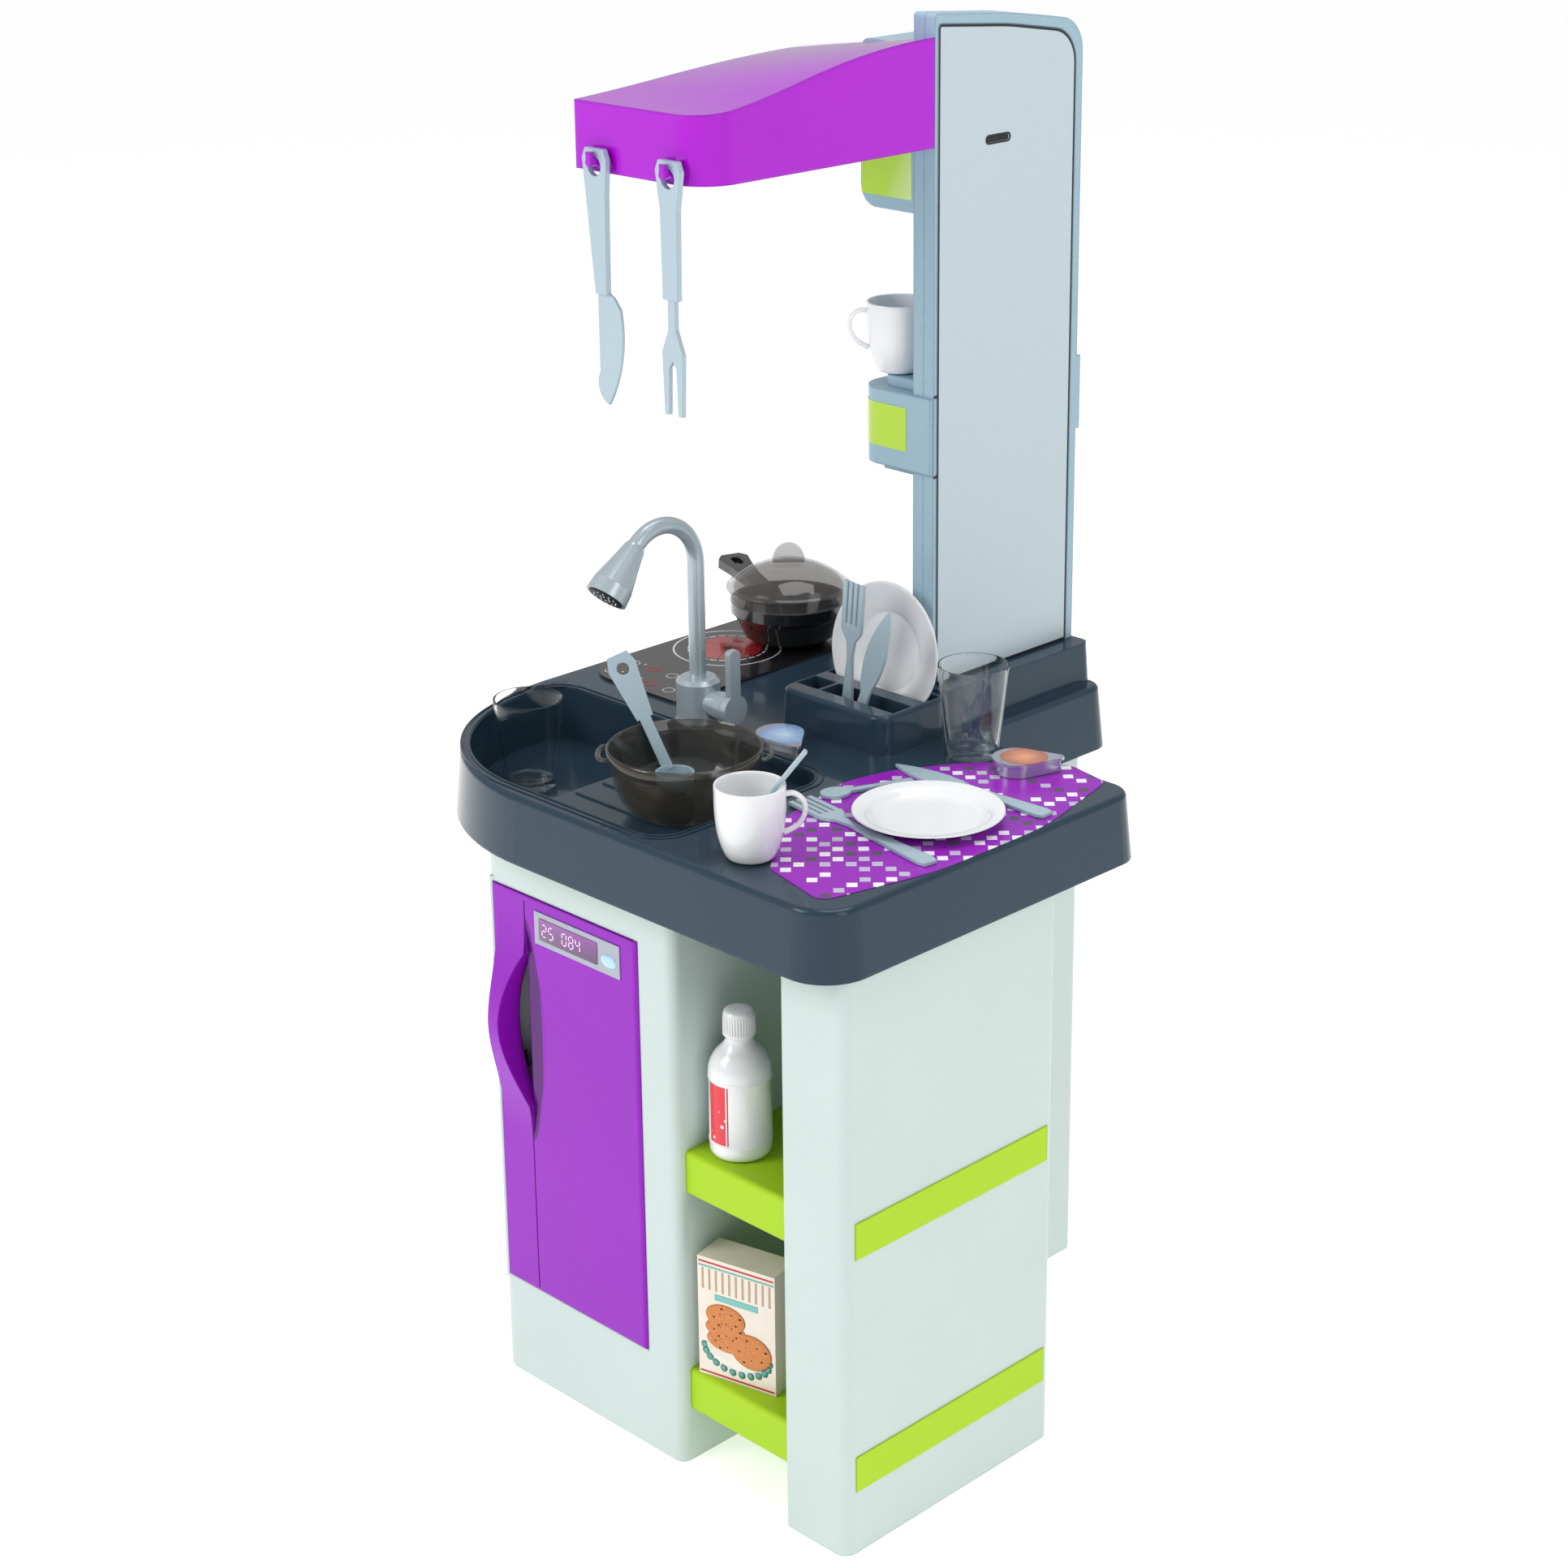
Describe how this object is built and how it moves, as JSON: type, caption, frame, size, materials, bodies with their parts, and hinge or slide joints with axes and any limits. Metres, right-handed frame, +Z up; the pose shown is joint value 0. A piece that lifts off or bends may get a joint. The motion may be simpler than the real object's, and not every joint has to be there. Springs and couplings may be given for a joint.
{
  "type": "toy kitchen",
  "caption": "Children's play kitchen with sink, swivel faucet, hob, hood on a tower, fridge and oven doors, shelves, a table end and play tableware.",
  "frame": {"origin": "on the floor under the left cabinet, midway between the worktop's left and right edges and its front and back edges", "axes": "+Z up, -Y is the side with the fridge door, +X is the side with the table end and the striped column"},
  "size_m": [0.5184, 0.474, 0.9997],
  "materials": {
    "off_white_plastic": "satin",
    "purple_plastic": "gloss",
    "slate_plastic": "gloss",
    "tower_plastic": "satin",
    "tower_panel": "satin",
    "green_plastic": "gloss",
    "green_label": "satin",
    "metallic_plastic": "satin",
    "black_glass_plate": "gloss",
    "printed_mat": "satin",
    "clear_plastic": "gloss",
    "tinted_plastic": "gloss",
    "white_plastic": "gloss",
    "black_plastic": "gloss",
    "display_label": "satin",
    "screw_steel": "satin",
    "milk_pod_plastic": "gloss",
    "chocolate_pod_plastic": "gloss",
    "carton": "matte"
  },
  "bodies": {
    "kitchen": {"left_cabinet": "off_white_plastic", "right_column": "off_white_plastic", "niche_back_panel": "off_white_plastic", "cabinet_back_panel": "off_white_plastic", "back_panel_screws": "screw_steel", "fridge_liner": "white_plastic", "fridge_shelf": "clear_plastic", "oven_liner": "black_plastic", "oven_rack": "metallic_plastic", "side_stripes": "green_label", "upper_shelf": "green_plastic", "lower_shelf": "green_plastic", "worktop": "slate_plastic", "hob_plate": "black_glass_plate", "placemat": "printed_mat", "faucet_base": "metallic_plastic", "tower_outer_shell": "tower_plastic", "tower_inner_shell": "tower_plastic", "tower_side_panel": "tower_panel", "tower_top_box": "tower_plastic", "coffee_machine_body": "tower_plastic", "coffee_cup_stand": "tower_plastic", "coffee_spout": "tower_plastic", "tower_labels": "green_label", "hood_shell": "purple_plastic", "hood_underside": "tower_plastic", "utensil_hooks": "purple_plastic"},
    "fridge_door": {"fridge_door": "purple_plastic", "fridge_hinge_pins": "screw_steel", "fridge_display": "display_label"},
    "oven_door": {"oven_door": "black_plastic", "oven_window": "tinted_plastic", "oven_hinge_pins": "screw_steel", "oven_handle": "metallic_plastic"},
    "faucet_spout": {"faucet_spout": "metallic_plastic"},
    "faucet_lever": {"faucet_lever": "metallic_plastic"},
    "hanging_knife": {"hanging_knife": "metallic_plastic"},
    "hanging_fork": {"hanging_fork": "metallic_plastic"},
    "saucepan": {"saucepan": "tinted_plastic"},
    "ladle": {"ladle": "metallic_plastic"},
    "frying_pan": {"frying_pan": "black_plastic"},
    "pan_lid": {"pan_lid": "tinted_plastic"},
    "sink_glass": {"sink_glass": "clear_plastic"},
    "table_glass": {"table_glass": "clear_plastic"},
    "table_mug": {"table_mug": "white_plastic"},
    "teaspoon": {"teaspoon": "metallic_plastic"},
    "coffee_mug": {"coffee_mug": "white_plastic"},
    "table_fork": {"table_fork": "metallic_plastic"},
    "table_knife": {"table_knife": "metallic_plastic"},
    "table_spoon": {"table_spoon": "metallic_plastic"},
    "holder_fork": {"holder_fork": "metallic_plastic"},
    "holder_knife": {"holder_knife": "metallic_plastic"},
    "table_plate": {"table_plate": "white_plastic"},
    "standing_plate": {"standing_plate": "white_plastic"},
    "milk_pod": {"milk_pod": "milk_pod_plastic"},
    "chocolate_pod": {"chocolate_pod": "chocolate_pod_plastic"},
    "bottle": {"bottle": "white_plastic"},
    "bottle_cap": {"bottle_cap": "white_plastic"},
    "cookie_box": {"cookie_box": "carton"}
  },
  "joints": [
    {"name": "fridge_door_hinge", "type": "hinge", "parent": "kitchen", "child": "fridge_door", "pos_m": [0.0345, -0.212, 0.239], "axis": [0, 0, 1], "range_deg": [0, 100]},
    {"name": "oven_door_hinge", "type": "hinge", "parent": "kitchen", "child": "oven_door", "pos_m": [-0.126, 0.079, 0.219], "axis": [0, -1, 0], "range_deg": [0, 90]},
    {"name": "faucet_swivel", "type": "hinge", "parent": "kitchen", "child": "faucet_spout", "pos_m": [-0.088, -0.036, 0.49], "axis": [0, 0, 1], "range_deg": [-60, 60]},
    {"name": "faucet_lever_turn", "type": "hinge", "parent": "kitchen", "child": "faucet_lever", "pos_m": [-0.0517, -0.036, 0.498], "axis": [1, 0, 0], "range_deg": [-40, 40]},
    {"name": "hanging_knife_swing", "type": "hinge", "parent": "kitchen", "child": "hanging_knife", "pos_m": [-0.05, -0.151, 0.916], "axis": [0, 1, 0], "range_deg": [-12, 12]},
    {"name": "hanging_fork_swing", "type": "hinge", "parent": "kitchen", "child": "hanging_fork", "pos_m": [0.022, -0.151, 0.916], "axis": [0, 1, 0], "range_deg": [-12, 12]},
    {"name": "saucepan_lift", "type": "slide", "parent": "kitchen", "child": "saucepan", "axis": [0, 0, 1], "range_m": [0, 0.06]},
    {"name": "ladle_lift", "type": "slide", "parent": "saucepan", "child": "ladle", "axis": [0, -0.4, 0.9165], "range_m": [0, 0.06]},
    {"name": "frying_pan_lift", "type": "slide", "parent": "kitchen", "child": "frying_pan", "axis": [0, 0, 1], "range_m": [0, 0.06]},
    {"name": "pan_lid_lift", "type": "slide", "parent": "frying_pan", "child": "pan_lid", "axis": [0, 0, 1], "range_m": [0, 0.06]},
    {"name": "sink_glass_lift", "type": "slide", "parent": "kitchen", "child": "sink_glass", "axis": [0, 0, 1], "range_m": [0, 0.08]},
    {"name": "table_glass_lift", "type": "slide", "parent": "kitchen", "child": "table_glass", "axis": [0, 0, 1], "range_m": [0, 0.06]},
    {"name": "table_mug_lift", "type": "slide", "parent": "kitchen", "child": "table_mug", "axis": [0, 0, 1], "range_m": [0, 0.06]},
    {"name": "teaspoon_lift", "type": "slide", "parent": "table_mug", "child": "teaspoon", "axis": [0, 0, 1], "range_m": [0, 0.06]},
    {"name": "coffee_mug_lift", "type": "slide", "parent": "kitchen", "child": "coffee_mug", "axis": [0, 0, 1], "range_m": [0, 0.05]},
    {"name": "table_fork_pull", "type": "slide", "parent": "kitchen", "child": "table_fork", "axis": [0, -1, 0], "range_m": [0, 0.03]},
    {"name": "table_knife_lift", "type": "slide", "parent": "kitchen", "child": "table_knife", "axis": [0, 0, 1], "range_m": [0, 0.06]},
    {"name": "table_spoon_lift", "type": "slide", "parent": "kitchen", "child": "table_spoon", "axis": [0, 0, 1], "range_m": [0, 0.06]},
    {"name": "table_plate_lift", "type": "slide", "parent": "kitchen", "child": "table_plate", "axis": [0, 0, 1], "range_m": [0, 0.06]},
    {"name": "milk_pod_lift", "type": "slide", "parent": "kitchen", "child": "milk_pod", "axis": [0, 0, 1], "range_m": [0, 0.06]},
    {"name": "chocolate_pod_lift", "type": "slide", "parent": "kitchen", "child": "chocolate_pod", "axis": [0, 0, 1], "range_m": [0, 0.06]},
    {"name": "holder_fork_lift", "type": "slide", "parent": "kitchen", "child": "holder_fork", "axis": [0, 0, 1], "range_m": [0, 0.06]},
    {"name": "holder_knife_lift", "type": "slide", "parent": "kitchen", "child": "holder_knife", "axis": [0, 0, 1], "range_m": [0, 0.06]},
    {"name": "standing_plate_lift", "type": "slide", "parent": "kitchen", "child": "standing_plate", "axis": [0, 0, 1], "range_m": [0, 0.06]},
    {"name": "bottle_pull", "type": "slide", "parent": "kitchen", "child": "bottle", "axis": [0, -1, 0], "range_m": [0, 0.08]},
    {"name": "bottle_cap_lift", "type": "slide", "parent": "bottle", "child": "bottle_cap", "axis": [0, 0, 1], "range_m": [0, 0.02]},
    {"name": "cookie_box_pull", "type": "slide", "parent": "kitchen", "child": "cookie_box", "axis": [0, -1, 0], "range_m": [0, 0.08]}
  ]
}
